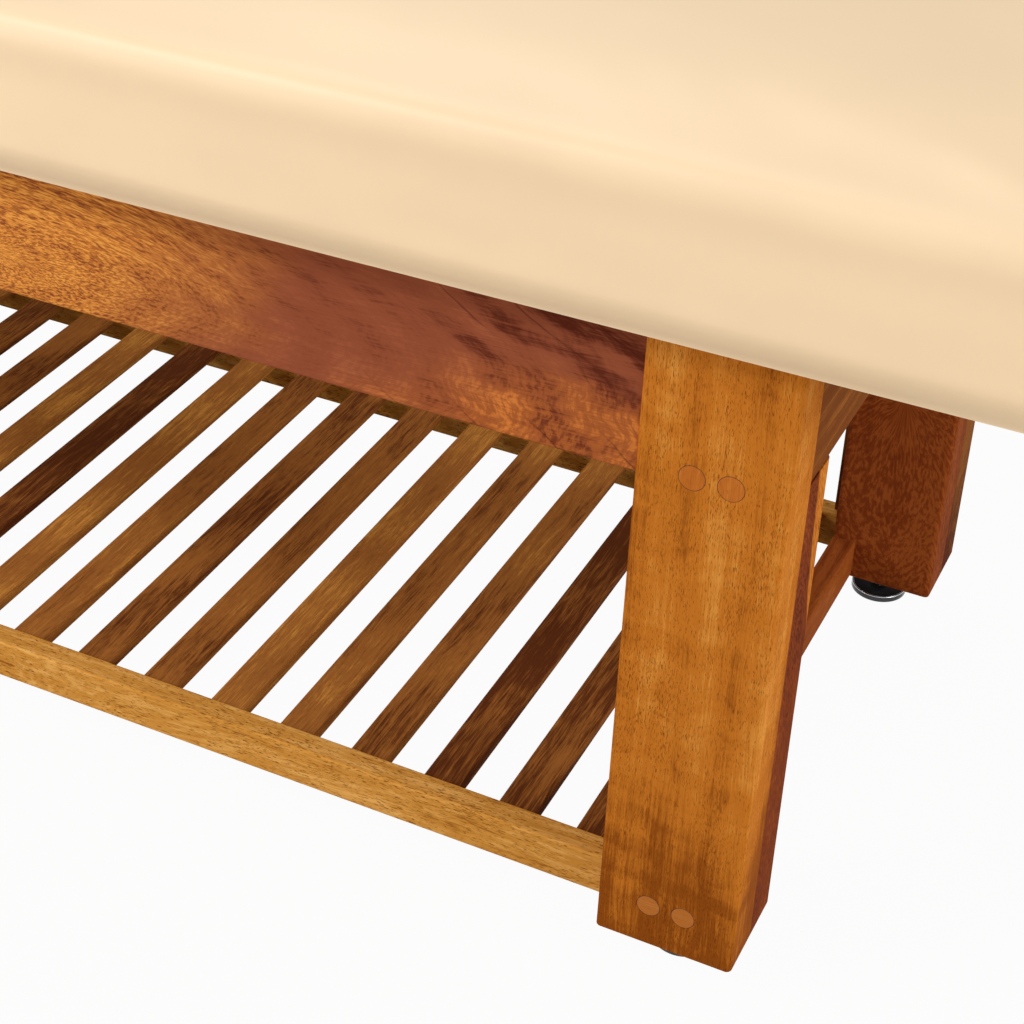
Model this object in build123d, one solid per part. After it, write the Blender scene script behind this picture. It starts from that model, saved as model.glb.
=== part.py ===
from build123d import *
import os
from math import cos, pi, sin

# X runs along the table, Y across it and Z up. The origin is on the floor under its middle.
base_length = 1503.0  # over the ends of the legs
base_width = 700.0  # over the faces of the legs
frame_height = 629.0  # floor to the top of the legs
leg_clearance = 33.0  # floor to the foot of the legs
arris_radius = 5.0  # rounded long edges of the legs
small_radius = 2.5  # rounded edges of the lighter pieces
overrun = 5.0  # how far a cut runs past the face that it opens
same_place = 0.01  # two edges nearer than this lie at one place

# Legs, each glued up from two boards
outer_board_width = 123.0
board_step = 14.0  # how much narrower the inner board is
board_thickness = 50.0

# Aprons under the top
apron_height = 135.0
apron_thickness = 24.0
side_apron_set_back = 4.0
apron_roundover = 5.0  # lower edge of the end aprons
apron_tenon_length = 30.0
apron_tenon_thickness = 12.0
apron_tenon_shoulder = 18.0

# Shelf
slat_count = 17
slat_width = 37.0
slat_thickness = 12.0
slat_edge = 1.5
slat_drop = 3.0  # slats lie this far below the top of the rails
slat_end_gap = 24.0  # last slat to the cross rail
slat_tenon_length = 9.0
slat_tenon_shoulder = 4.0
rail_height = 42.0
rail_thickness = 25.0
rail_set_back = 35.0  # from the face of the legs
rail_lift = 1.0  # underside of the rails above the foot of the legs
rail_tenon_length = 25.0
rail_tenon_thickness = 8.0
rail_tenon_shoulder = 8.0

# Padded top
side_overhang = 35.0
end_overhang = 223.5
deck_thickness = 18.0
deck_inset = 20.0
pad_edge_height = 144.0  # underside of the deck to the rolled top edge
pad_crown = 9.0
pad_corner_radius = 45.0
pad_top_roll = 36.0
pad_bottom_roll = 16.0  # how far the lower edge is drawn in
pad_bottom_rise = 34.0  # height over which it is drawn in
pad_waist = 3.0
cover_thickness = 1.5
hem_inset = 32.0
crown_shares = (0.5,)
waist_shares = (0.65,)
top_roll_steps = 4
bottom_roll_steps = 2

# Battens that carry the deck
cleat_width = 25.0
cleat_height = 30.0
cleat_end_gap = 8.0
bearer_thickness = 25.0
bearer_height = 60.0
bearer_spacing = 420.0

# Flat sides of the small round pieces and of the screws' heads
round_sides = 24
disc_sides = 36
hexagon_sides = 6

# Plugs and screws
plug_spacing = 31.0
plug_depth = 10.0
upper_plug_diameter = 22.0
upper_plug_rise = 11.5  # centre above the lower edge of the aprons
lower_plug_diameter = 21.0
lower_plug_drop = 1.0  # centre below the top of the rails
leg_screw_width = 6.0
leg_screw_head_width = 13.0
leg_screw_head_height = 5.0
leg_screw_length = 62.0

# Levelling feet
glide_diameter = 58.0
glide_height = 7.0
glide_wall = 2.0
glide_edge = 1.0
glide_in_from_face = 58.0  # axis from the outer face of the leg
ring_height = 4.0
ring_gap = 0.3
stem_diameter = 12.0
stem_length = 70.0
stem_nut_width = 19.0
stem_nut_height = 6.0
stem_nut_gap = 3.0
running_gap = 0.1  # between a turning or sliding face and its bore
stem_travel_in = 10.0
insert_diameter = 20.0
insert_length = 25.0

# Sizes that follow from those above
inner_board_width = outer_board_width - board_step
shelf_length = base_length - 2 * inner_board_width
slat_pitch = (shelf_length - slat_width - 2 * slat_end_gap) / (slat_count - 1)
leg_end = base_length / 2
leg_face = base_width / 2
board_joint = leg_face - board_thickness
leg_inner_face = board_joint - board_thickness
outer_board_side = leg_end - outer_board_width
inner_board_side = leg_end - inner_board_width
apron_bottom = frame_height - apron_height
rail_bottom = leg_clearance + rail_lift
rail_top = rail_bottom + rail_height
rail_outer = leg_face - rail_set_back
rail_inner = rail_outer - rail_thickness
slat_top = rail_top - slat_drop
end_apron_inner = leg_end - apron_thickness
side_apron_outer = leg_face - side_apron_set_back
side_apron_inner = side_apron_outer - apron_thickness
pad_length = base_length + 2 * end_overhang
pad_width = base_width + 2 * side_overhang
pad_top = frame_height + pad_edge_height
leg_middle = leg_end - outer_board_width / 2
glide_across = leg_face - glide_in_from_face
upper_plug_height = apron_bottom + upper_plug_rise
lower_plug_height = rail_top - lower_plug_drop
stem_bottom = glide_wall + running_gap
side_cleat_reach = outer_board_side - cleat_end_gap

ends = {"left": -1, "right": 1}
sides = {"front": -1, "back": 1}


def block(low, high):
    """A box between two corners."""
    size = [b - a for a, b in zip(low, high)]
    middle = [(a + b) / 2 for a, b in zip(low, high)]
    return Pos(*middle) * Box(*size)


def at_corner(shape, end, side):
    """Takes a shape modelled at the right back corner to another one."""
    if ends[end] < 0:
        shape = mirror(shape, about=Plane.YZ)
    if sides[side] < 0:
        shape = mirror(shape, about=Plane.XZ)
    return shape


def each_corner(shape):
    """The four mirrored copies of a shape modelled at the right back corner."""
    return [at_corner(shape, end, side) for end in ends for side in sides]


def edges_at(shape, axis, **place):
    """Straight edges along an axis whose middle lies at the given X, Y or Z."""
    found = shape.edges().filter_by(axis)
    for name, value in place.items():
        found = found.filter_by(lambda e: abs(getattr(e.center(), name) - value) < same_place)
    return found


def save(name, shape):
    """Writes one piece, or a group of like pieces, under its name."""
    if isinstance(shape, list):
        solids = [solid for piece in shape for solid in piece.solids()]
        shape = Compound(children=solids)
    export_step(shape, f"parts/{name}.step")


# Plugs and screws, which also cut their own holes


def bar(width, sides, height):
    """A bar of even flat sides that stands on the origin."""
    return extrude(RegularPolygon(width / 2, sides, major_radius=False), height)


def plug_places(height):
    """Where a pair of plugs sits on the face of a leg."""
    return [(leg_middle + step * plug_spacing / 2, height) for step in (-1, 1)]


def plugs(diameter, height):
    """The plugs of one pair, flush with the face of the right back leg."""
    plug = Rot(90, 0, 0) * bar(diameter, round_sides, plug_depth)
    return [Pos(x, leg_face, z) * plug for x, z in plug_places(height)]


def leg_screws(height):
    """The screws under one pair of plugs, which hold the two boards of the leg together."""
    head = bar(leg_screw_head_width, hexagon_sides, leg_screw_head_height)
    shank = bar(leg_screw_width, hexagon_sides, leg_screw_length)
    one = Rot(90, 0, 0) * (head + shank)
    return [Pos(x, leg_face - plug_depth, z) * one for x, z in plug_places(height)]


# Levelling feet, modelled on the axis of the right back leg


def on_glide_axis(shape):
    """Moves a turned piece from the origin to the foot's axis."""
    return Pos(leg_middle, glide_across, 0) * shape


def upright(diameter, low, high, sides=round_sides):
    """A round bar about Z between two heights, with as many flat sides as it needs to look round."""
    return Pos(0, 0, low) * bar(diameter, sides, high - low)


def glide_base():
    """Steel dish with a rim, which stands on the floor and turns on the foot of the stem."""
    dish = upright(glide_diameter, 0, glide_height, disc_sides)
    dish = chamfer(dish.faces().sort_by(Axis.Z)[-1].edges(), glide_edge)
    dish -= upright(glide_diameter - 2 * glide_wall, glide_wall, glide_height + overrun, disc_sides)
    return on_glide_axis(dish)


def glide_ring():
    """Black ring that fills the dish and keeps the stem in its middle."""
    outer = glide_diameter - 2 * glide_wall - 2 * ring_gap
    ring = upright(outer, glide_wall, glide_wall + ring_height, disc_sides)
    ring -= upright(stem_diameter + 2 * running_gap, glide_wall - overrun, glide_height + overrun)
    return on_glide_axis(ring)


def glide_stem():
    """Stem whose foot turns in the ring, with a hexagon for the spanner."""
    stem = upright(stem_diameter, stem_bottom, stem_bottom + stem_length)
    nut_bottom = glide_wall + ring_height + stem_nut_gap
    stem += Pos(0, 0, nut_bottom) * bar(stem_nut_width, hexagon_sides, stem_nut_height)
    return on_glide_axis(stem)


def stem_hole():
    """Room in the leg for the stem at its highest."""
    top = stem_bottom + stem_length + stem_travel_in + overrun
    return on_glide_axis(upright(stem_diameter + 2 * running_gap, leg_clearance - overrun, top))


def insert_body():
    """Threaded insert without its bore, let into the foot of the leg."""
    return on_glide_axis(upright(insert_diameter, leg_clearance, leg_clearance + insert_length))


# Frame pieces at the right back corner


def all_leg_screws():
    """Every screw and plug of the right back leg."""
    upper = leg_screws(upper_plug_height) + plugs(upper_plug_diameter, upper_plug_height)
    lower = leg_screws(lower_plug_height) + plugs(lower_plug_diameter, lower_plug_height)
    return upper + lower


def side_tenon():
    """Tenon on the right end of the back side apron."""
    middle = (side_apron_outer + side_apron_inner) / 2
    half = apron_tenon_thickness / 2
    return block(
        (outer_board_side, middle - half, apron_bottom + apron_tenon_shoulder),
        (outer_board_side + apron_tenon_length, middle + half, frame_height - apron_tenon_shoulder),
    )


def rail_tenon():
    """Tenon on the right end of the back shelf rail."""
    middle = (rail_outer + board_joint) / 2
    half = rail_tenon_thickness / 2
    return block(
        (outer_board_side, middle - half, rail_bottom + rail_tenon_shoulder),
        (outer_board_side + rail_tenon_length, middle + half, rail_top - rail_tenon_shoulder),
    )


def cross_rail_tenon():
    """Tenon on the back end of the right cross rail."""
    shoulder = (rail_thickness - rail_tenon_thickness) / 2
    return block(
        (inner_board_side + shoulder, leg_inner_face, rail_bottom + rail_tenon_shoulder),
        (
            inner_board_side + shoulder + rail_tenon_thickness,
            leg_inner_face + rail_tenon_length,
            rail_top - rail_tenon_shoulder,
        ),
    )


def leg_outer_board():
    """Wide board of a leg, mortised for the side apron and the shelf rail."""
    board = block((outer_board_side, board_joint, leg_clearance), (leg_end, leg_face, frame_height))
    board = fillet(edges_at(board, Axis.Z, Y=leg_face), arris_radius)
    for cut in [side_tenon(), rail_tenon(), insert_body()] + all_leg_screws():
        board -= cut
    return board


def leg_inner_board():
    """Narrower board of a leg, notched at the top for the end apron."""
    board = block((inner_board_side, leg_inner_face, leg_clearance), (leg_end, board_joint, frame_height))
    board = fillet(edges_at(board, Axis.Z, Y=leg_inner_face), arris_radius)
    board -= block(
        (end_apron_inner, leg_inner_face - overrun, apron_bottom),
        (leg_end + overrun, board_joint + overrun, frame_height + overrun),
    )
    for cut in [cross_rail_tenon(), insert_body(), stem_hole()] + all_leg_screws():
        board -= cut
    return board


# Long pieces between the legs


def side_apron():
    """Back side apron, tenoned into the outer boards at both ends."""
    board = block(
        (-outer_board_side, side_apron_inner, apron_bottom),
        (outer_board_side, side_apron_outer, frame_height),
    )
    lower_edges = edges_at(board, Axis.X, Z=apron_bottom)
    board = fillet(lower_edges, small_radius)
    tenon = side_tenon()
    return board + tenon + mirror(tenon, about=Plane.YZ)


def end_apron():
    """Right end apron, let into the inner boards flush with the ends of the outer boards."""
    board = block((end_apron_inner, -board_joint, apron_bottom), (leg_end, board_joint, frame_height))
    lower_edge = edges_at(board, Axis.Y, X=leg_end, Z=apron_bottom)
    return fillet(lower_edge, apron_roundover)


def slat_places():
    """Middle of every slat along the shelf."""
    return [(k - (slat_count - 1) / 2) * slat_pitch for k in range(slat_count)]


def slat(place):
    """One slat of the shelf with a stub tenon at each end."""
    body = block(
        (place - slat_width / 2, -rail_inner, slat_top - slat_thickness),
        (place + slat_width / 2, rail_inner, slat_top),
    )
    body = chamfer(body.edges().filter_by(Axis.Y), slat_edge)
    return body + slat_tenons(place)


def slat_tenons(place):
    """The two tenons of a slat, as one bar that also cuts the mortises."""
    half = slat_width / 2 - slat_tenon_shoulder
    reach = rail_inner + slat_tenon_length
    low = slat_top - slat_thickness + slat_tenon_shoulder
    high = slat_top - slat_tenon_shoulder
    return block((place - half, -reach, low), (place + half, reach, high))


def shelf_rail():
    """Back shelf rail, mortised for the slats and lapped round the edge of each outer board."""
    rail = block((-outer_board_side, rail_inner, rail_bottom), (outer_board_side, rail_outer, rail_top))
    rail = fillet(rail.edges().filter_by(Axis.X), small_radius)
    lip = block(
        (outer_board_side, rail_inner, rail_bottom),
        (inner_board_side, board_joint, rail_top),
    )
    lip_edges = edges_at(lip, Axis.X, Y=rail_inner)
    lip = fillet(lip_edges, small_radius)
    for extra in (lip, rail_tenon()):
        rail = rail + extra + mirror(extra, about=Plane.YZ)
    for place in slat_places():
        rail -= slat_tenons(place)
    return rail


def cross_rail():
    """Right cross rail between the inner boards of the legs."""
    rail = block(
        (inner_board_side, -leg_inner_face, rail_bottom),
        (inner_board_side + rail_thickness, leg_inner_face, rail_top),
    )
    rail = fillet(rail.edges().filter_by(Axis.Y), small_radius)
    tenon = cross_rail_tenon()
    return rail + tenon + mirror(tenon, about=Plane.XZ)


# Battens under the deck


def side_cleat():
    """Back side cleat, along the inside of the apron."""
    return block(
        (-side_cleat_reach, side_apron_inner - cleat_width, frame_height - cleat_height),
        (side_cleat_reach, side_apron_inner, frame_height),
    )


def end_cleat():
    """Right end cleat between the inner boards of the legs."""
    return block(
        (end_apron_inner - cleat_width, -leg_inner_face, frame_height - cleat_height),
        (end_apron_inner, leg_inner_face, frame_height),
    )


def deck_bearer():
    """Right bearer across the frame, notched over the side cleats."""
    middle = bearer_spacing / 2
    bearer = block(
        (middle - bearer_thickness / 2, -side_apron_inner, frame_height - bearer_height),
        (middle + bearer_thickness / 2, side_apron_inner, frame_height),
    )
    for sign in (-1, 1):
        low, high = sorted((sign * (side_apron_inner - cleat_width), sign * (side_apron_inner + overrun)))
        bearer -= block(
            (middle - bearer_thickness, low, frame_height - cleat_height),
            (middle + bearer_thickness, high, frame_height + overrun),
        )
    return bearer


# Padded top


def pad_sections(skin):
    """Insets and heights up the side of the pad and over its crown, a skin inside its surface."""
    bottom = frame_height - cover_thickness + skin
    top = pad_top - skin
    bottom_roll = pad_bottom_roll - skin
    bottom_rise = pad_bottom_rise - skin
    top_roll = pad_top_roll - skin
    found = []
    for k in range(bottom_roll_steps + 1):
        angle = k / bottom_roll_steps * pi / 2
        found.append((skin + bottom_roll * (1 - sin(angle)), bottom + bottom_rise * (1 - cos(angle))))
    low, high = bottom + bottom_rise, top - top_roll
    for share in waist_shares:
        found.append((skin + pad_waist * sin(share * pi), low + share * (high - low)))
    for k in range(top_roll_steps):
        angle = k / top_roll_steps * pi / 2
        found.append((skin + top_roll * (1 - cos(angle)), high + top_roll * sin(angle)))
    edge = skin + top_roll
    reach = pad_width / 2 - edge
    for share in (0,) + crown_shares:
        found.append((edge + share * reach, top + pad_crown * (1 - (1 - share) ** 2)))
    return found


def pad_form(skin):
    """The whole padded top, or what lies a skin's thickness inside it."""
    outlines = []
    for inset, height in pad_sections(skin):
        radius = max(pad_corner_radius - inset, small_radius)
        outline = RectangleRounded(pad_length - 2 * inset, pad_width - 2 * inset, radius)
        outlines.append(Pos(0, 0, height) * outline)
    return loft(outlines, ruled=True)


def deck_board(below=0):
    """Plywood deck that the foam lies on, or with a length below it, the room that it takes."""
    radius = pad_corner_radius - deck_inset
    outline = RectangleRounded(pad_length - 2 * deck_inset, pad_width - 2 * deck_inset, radius)
    return Pos(0, 0, frame_height - below) * extrude(outline, deck_thickness + below)


def foam_core(inside):
    """Foam that fills the cover over the deck and round its edge."""
    return inside - deck_board(overrun)


def pad_cover(inside):
    """Cover over the foam, rolled under the deck as a hem."""
    cover = pad_form(0) - inside
    return cover - block(
        (hem_inset - pad_length / 2, hem_inset - pad_width / 2, frame_height - cover_thickness - overrun),
        (pad_length / 2 - hem_inset, pad_width / 2 - hem_inset, frame_height + overrun / 2),
    )


def save_legs():
    """The eight boards of the legs with their plugs, screws and inserts."""
    outer = leg_outer_board()
    inner = leg_inner_board()
    for end in ends:
        for side in sides:
            save(f"leg_outer_board_{side}_{end}", at_corner(outer, end, side))
            save(f"leg_inner_board_{side}_{end}", at_corner(inner, end, side))
    upper = [copy for one in plugs(upper_plug_diameter, upper_plug_height) for copy in each_corner(one)]
    lower = [copy for one in plugs(lower_plug_diameter, lower_plug_height) for copy in each_corner(one)]
    save("leg_plugs_upper", upper)
    save("leg_plugs_lower", lower)
    pairs = leg_screws(upper_plug_height) + leg_screws(lower_plug_height)
    save("leg_screws", [copy for one in pairs for copy in each_corner(one)])
    save("leg_inserts", each_corner(insert_body() - stem_hole()))


def save_glides():
    """The levelling foot of each leg."""
    pieces = {"glide_base": glide_base(), "glide_ring": glide_ring(), "glide_stem": glide_stem()}
    for name, piece in pieces.items():
        for end in ends:
            for side in sides:
                save(f"{name}_{side}_{end}", at_corner(piece, end, side))


def save_frame():
    """Aprons, shelf and battens."""
    along = {"side_apron": side_apron(), "shelf_rail": shelf_rail(), "side_cleat": side_cleat()}
    for name, piece in along.items():
        for side in sides:
            save(f"{name}_{side}", at_corner(piece, "right", side))
    across = {
        "end_apron": end_apron(),
        "cross_rail": cross_rail(),
        "end_cleat": end_cleat(),
        "deck_bearer": deck_bearer(),
    }
    for name, piece in across.items():
        for end in ends:
            save(f"{name}_{end}", at_corner(piece, end, "back"))
    for number, place in enumerate(slat_places(), 1):
        save(f"shelf_slat_{number:02d}", slat(place))


def save_top():
    """Deck, foam and cover."""
    inside = pad_form(cover_thickness)
    save("deck_board", deck_board())
    save("foam_core", foam_core(inside))
    save("pad_cover", pad_cover(inside))


os.makedirs("parts", exist_ok=True)
save_legs()
save_glides()
save_frame()
save_top()
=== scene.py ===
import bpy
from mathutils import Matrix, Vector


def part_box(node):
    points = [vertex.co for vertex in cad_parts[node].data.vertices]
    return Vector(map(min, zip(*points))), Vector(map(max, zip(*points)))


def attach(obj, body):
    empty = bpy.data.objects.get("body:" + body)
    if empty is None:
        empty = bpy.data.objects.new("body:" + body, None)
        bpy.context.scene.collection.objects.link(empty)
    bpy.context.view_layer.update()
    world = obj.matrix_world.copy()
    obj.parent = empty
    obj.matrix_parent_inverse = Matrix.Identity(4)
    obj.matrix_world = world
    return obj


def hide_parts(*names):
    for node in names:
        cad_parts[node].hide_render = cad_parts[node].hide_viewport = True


bl_info = {
    "name": "Spa treatment table",
    "version": (1, 0, 0),
    "blender": (4, 5, 0),
    "location": "View3D > Sidebar > Table",
    "description": "Dresses a padded spa table in upholstery, varnished wood and steel",
    "category": "Object",
}

from math import pi, radians

import bpy
import numpy as np
from bpy.props import FloatProperty, FloatVectorProperty, IntProperty, PointerProperty
from bpy.types import Operator, Panel, PropertyGroup
from mathutils import Matrix, Vector

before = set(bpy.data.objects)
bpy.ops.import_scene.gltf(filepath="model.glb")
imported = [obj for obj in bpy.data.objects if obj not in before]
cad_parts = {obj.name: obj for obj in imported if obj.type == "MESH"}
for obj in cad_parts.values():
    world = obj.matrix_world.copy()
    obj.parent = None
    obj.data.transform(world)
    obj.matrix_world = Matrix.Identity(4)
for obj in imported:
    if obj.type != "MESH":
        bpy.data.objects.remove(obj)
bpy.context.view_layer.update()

MM = 0.001
# Points nearer than this to a level count as on it
NEAR = 0.1 * MM
TABLE = "table"
ENDS = ("left", "right")
SIDES = ("front", "back")
CORNERS = [f"{side}_{end}" for side in SIDES for end in ENDS]


def srgb(red, green, blue):
    """A colour as it shows on screen, as the linear values that shaders use."""
    shares = [value / 255 for value in (red, green, blue)]
    return [share / 12.92 if share < 0.04045 else ((share + 0.055) / 1.055) ** 2.4 for share in shares]


def whole(colour):
    """A colour with full alpha."""
    return (*colour, 1)


def paint(red, green, blue):
    """A colour as it shows on screen, as a shader's socket takes it."""
    return whole(srgb(red, green, blue))


def tones(light, middle, dark):
    """The three tones of a wood, each with full alpha."""
    return [whole(light), whole(middle), whole(dark)]


# Sizes and colours that a user can change


def colour_property(name, description, value):
    """A colour, given as it shows on screen."""
    return FloatVectorProperty(
        name=name, description=description, subtype="COLOR", size=3, min=0, max=1, default=srgb(*value)
    )


def number_property(name, description, value, **limits):
    """A number, and what limits or kind it has."""
    return FloatProperty(name=name, description=description, default=value, **limits)


def length_property(name, description, millimetres):
    """A length, given in millimetres."""
    return number_property(name, description, millimetres * MM, subtype="DISTANCE", unit="LENGTH")


def share_property(name, description, share):
    """A share between nought and one."""
    return number_property(name, description, share, subtype="FACTOR", min=0, max=1)


def angle_property(name, description, degrees):
    """An angle, given in degrees."""
    return number_property(name, description, radians(degrees), subtype="ANGLE")


class TABLE_PG_pad(PropertyGroup):
    """Sizes and finish of the padded top."""

    colour: colour_property("Cover", "Colour of the soft cover", (253, 223, 182))
    roughness: share_property("Roughness", "Roughness of the cover", 0.45)
    shine: share_property("Shine", "Strength of the cover's reflection", 0.42)
    top_roll: length_property("Top edge", "Radius of the rolled top edge", 20)
    spare: length_property("Spare", "Extra depth that is filled and then cut off", 30)
    hem: length_property("Hem", "Width of the cover under the deck", 18)
    turn_up: length_property("Turn up", "How far the underside is let into the deck", 3)
    draw_in: length_property("Draw in", "How far the cover is drawn in towards the deck", 19)
    draw_height: length_property("Draw height", "Height over which the cover is drawn in", 30)
    waist: length_property("Waist", "How far the sides are drawn in under the top edge", 2)
    ease: length_property("Ease", "How far the sides are let out all round", 6)
    bow: length_property("Bow", "How much further the long sides stand out in their middle", 7)
    crown: length_property("Crown", "Rise of the top above its edge", 6)
    corner: length_property("Corner", "Radius of the corners seen from above", 45)
    slack: length_property("Slack", "How much smaller the cover starts before it is filled", 2)
    held: length_property("Held", "Height up to which filling leaves the cover alone", 10)
    swell: length_property("Swell", "Furthest that filling may move the cover", 9)
    voxel: length_property("Mesh", "Size of the faces that the cover is filled with", 12)
    pressure: number_property("Pressure", "Pressure of the filling", 4, min=0)
    steps: IntProperty(name="Steps", description="Steps that the filling takes", min=1, default=20)


class TABLE_PG_wood(PropertyGroup):
    """Main tones of the varnished wood."""

    amber: colour_property("Amber", "Light amber wood", (226, 152, 66))
    honey: colour_property("Honey", "Middle amber wood", (200, 118, 38))
    brown: colour_property("Brown", "Middle brown wood", (146, 76, 20))
    red: colour_property("Red brown", "Reddish heartwood", (156, 80, 34))
    wine: colour_property("Wine", "Dark reddish heartwood", (126, 56, 22))
    chocolate: colour_property("Chocolate", "Darkest heartwood", (86, 36, 14))
    pore: colour_property("Pores", "Open pores in the grain", (118, 56, 16))
    roughness: share_property("Roughness", "Roughness of the varnish", 0.55)
    shine: share_property("Shine", "Strength of the varnish's reflection", 0.004)


class TABLE_PG_plugs(PropertyGroup):
    """Sizes of the plugs in the faces of the legs."""

    spacing: length_property("Spacing", "Distance between the plugs of a pair", 31)
    depth: length_property("Depth", "Length of a plug", 10)
    gap: length_property("Gap", "Gap between a plug and its hole", 0.15)
    # The eased edge carries the dark line that is partly glue and partly painted shade of the gap
    edge: length_property("Edge", "Eased edge of a plug, where the glue line shows", 0.45)


class TABLE_PG_feet(PropertyGroup):
    """Sizes of the levelling feet's finish."""

    edge: length_property("Edge", "Rounded edge of the steel dish", 0.8)
    wall: length_property("Wall", "Thickness of the dish's wall and floor", 2)
    # Depths below the lip that bound the painted highlight along the dish's lip
    lip_highlight_start: length_property("Polish start", "Depth below the lip where its polish starts", 1.3)
    lip_highlight_full: length_property("Polish full", "Depth below the lip where its polish is full", 0.6)
    ring_edge: length_property("Ring edge", "Rounded edge of the black ring", 0.6)
    ring_floor: length_property("Ring floor", "What is left of the ring under its hole", 0.4)
    ring_hole: length_property("Ring hole", "Radius of the ring's hole", 6.1)
    thread_pitch: length_property("Thread pitch", "Spacing of the stem's thread", 1.5)


class TABLE_PG_stage(PropertyGroup):
    """Floor, light and camera."""

    floor_size: length_property("Floor", "Side of the floor", 30000)
    floor_drop: length_property("Floor drop", "How far the floor lies below the dishes", 0.5)
    sky: number_property("Sky", "Strength of the even light from all round", 0.42, min=0)
    key: number_property("Key light", "Power of the large soft lamp, in watts", 87, min=0)
    lens: number_property("Lens", "Focal length in millimetres", 77.94, min=1)
    place: FloatVectorProperty(
        name="Place", description="Place of the camera", subtype="TRANSLATION", unit="LENGTH",
        default=(1.1001, -1.6726, 1.4049)
    )
    azimuth: angle_property("Azimuth", "Direction of view", -25.17)
    fall: angle_property("Fall", "Angle below the horizon", 30.888)
    roll: angle_property("Roll", "Turn about the line of sight", 2.058)
    shift: FloatVectorProperty(
        name="Shift", description="Shift of the picture, because the photograph is a crop", size=2,
        default=(0.0547, -0.126)
    )


def settings(name):
    """The property group of that name on the scene."""
    return getattr(bpy.context.scene, "table_" + name)


# Modelling helpers


def mode(name):
    """Changes between object mode and edit mode."""
    bpy.ops.object.mode_set(mode=name)


def deselect():
    """Leaves edit mode and deselects every object."""
    if bpy.context.object and bpy.context.object.mode != "OBJECT":
        mode("OBJECT")
    bpy.ops.object.select_all(action="DESELECT")


def activate(piece):
    """Makes one piece the only selected and active one."""
    deselect()
    piece.select_set(True)
    bpy.context.view_layer.objects.active = piece


def added(name):
    """Names the primitive that was just added, together with its mesh."""
    piece = bpy.context.object
    piece.name = name
    piece.data.name = name
    return piece


def copied(piece, name):
    """A copy of a piece, with its own mesh."""
    copy = piece.copy()
    copy.data = piece.data.copy()
    copy.name = name
    copy.data.name = name
    bpy.context.collection.objects.link(copy)
    return copy


def settle(piece):
    """Puts a piece's place, turn and scale into its mesh."""
    activate(piece)
    bpy.ops.object.transform_apply(location=True, rotation=True, scale=True)


def smoothed(piece):
    """Gives a piece a light smoothing, not applied yet."""
    smooth = piece.modifiers.new("Smooth", "SMOOTH")
    smooth.factor = 0.5
    smooth.iterations = 2


def apply_modifiers(piece):
    """Applies all of a piece's modifiers, in their order."""
    activate(piece)
    for modifier in list(piece.modifiers):
        bpy.ops.object.modifier_apply(modifier=modifier.name)


def points(piece):
    """The places of a mesh's points as an array."""
    found = np.empty(len(piece.data.vertices) * 3)
    piece.data.vertices.foreach_get("co", found)
    return found.reshape(-1, 3)


def put_points(piece, places):
    """Moves a mesh's points to the places in an array."""
    piece.data.vertices.foreach_set("co", places.ravel())
    piece.data.update()


def select_none(kind):
    """Sets what edit mode selects, and selects nothing."""
    mode("EDIT")
    bpy.ops.mesh.select_mode(type=kind)
    bpy.ops.mesh.select_all(action="DESELECT")
    mode("OBJECT")


def select_edges(piece, test):
    """In edit mode, selects the edges whose two ends pass a test."""
    select_none("EDGE")
    corners = piece.data.vertices
    for edge in piece.data.edges:
        a, b = (corners[k].co for k in edge.vertices)
        edge.select = bool(test(a, b))
    mode("EDIT")


def select_faces(piece, test):
    """In edit mode, selects the faces that pass a test."""
    select_none("FACE")
    for face in piece.data.polygons:
        face.select = bool(test(face))
    mode("EDIT")


def cover_with(piece, material):
    """Makes a material the only one of a piece."""
    piece.data.materials.clear()
    piece.data.materials.append(material)


def dress(node, material):
    """Gives a CAD node a better material."""
    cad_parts[node].material_slots[0].material = material


def join_table(piece, body, *nodes):
    """Lets a finished piece stand for CAD nodes on their body."""
    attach(piece, body)
    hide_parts(*nodes)


# Shader helpers


def group(name, inputs, outputs):
    """A new shader node group with its sockets by kind, and its input and output nodes."""
    tree = bpy.data.node_groups.new(name, "ShaderNodeTree")
    kinds = {"value": "NodeSocketFloat", "colour": "NodeSocketColor", "vector": "NodeSocketVector"}
    for way, sockets in (("INPUT", inputs), ("OUTPUT", outputs)):
        for kind, titles in sockets.items():
            for title in titles:
                tree.interface.new_socket(title, in_out=way, socket_type=kinds[kind])
    return tree, tree.nodes.new("NodeGroupInput"), tree.nodes.new("NodeGroupOutput")


def joined(tree, source, socket):
    """Links a source to a socket, or sets the socket where the source is a plain value."""
    if isinstance(source, bpy.types.NodeSocket):
        tree.links.new(source, socket)
    elif source is not None:
        socket.default_value = source


def feed(tree, node, sources):
    """Joins sources, or plain values, to the inputs of a node by their names."""
    for title, source in sources.items():
        joined(tree, source, node.inputs[title])


def maths(tree, operation, first, second=None, third=None):
    """One sum on values that change over the surface."""
    node = tree.nodes.new("ShaderNodeMath")
    node.operation = operation
    for source, socket in zip((first, second, third), node.inputs):
        joined(tree, source, socket)
    return node.outputs[0]


def scaled(tree, value, factor, start=0.0):
    """A value times a factor, added to a start."""
    return maths(tree, "MULTIPLY_ADD", value, factor, start)


def product(tree, *values):
    """Values multiplied together."""
    result = values[0]
    for value in values[1:]:
        result = maths(tree, "MULTIPLY", result, value)
    return result


def vector_maths(tree, operation, first, second):
    """One sum on vectors. SCALE takes a plain number as its second value."""
    node = tree.nodes.new("ShaderNodeVectorMath")
    node.operation = operation
    joined(tree, first, node.inputs[0])
    joined(tree, second, node.inputs["Scale" if operation == "SCALE" else 1])
    return node.outputs[0]


def combined(tree, x, y, z):
    """A vector made of three values."""
    node = tree.nodes.new("ShaderNodeCombineXYZ")
    for source, socket in zip((x, y, z), node.inputs):
        joined(tree, source, socket)
    return node.outputs[0]


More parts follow.
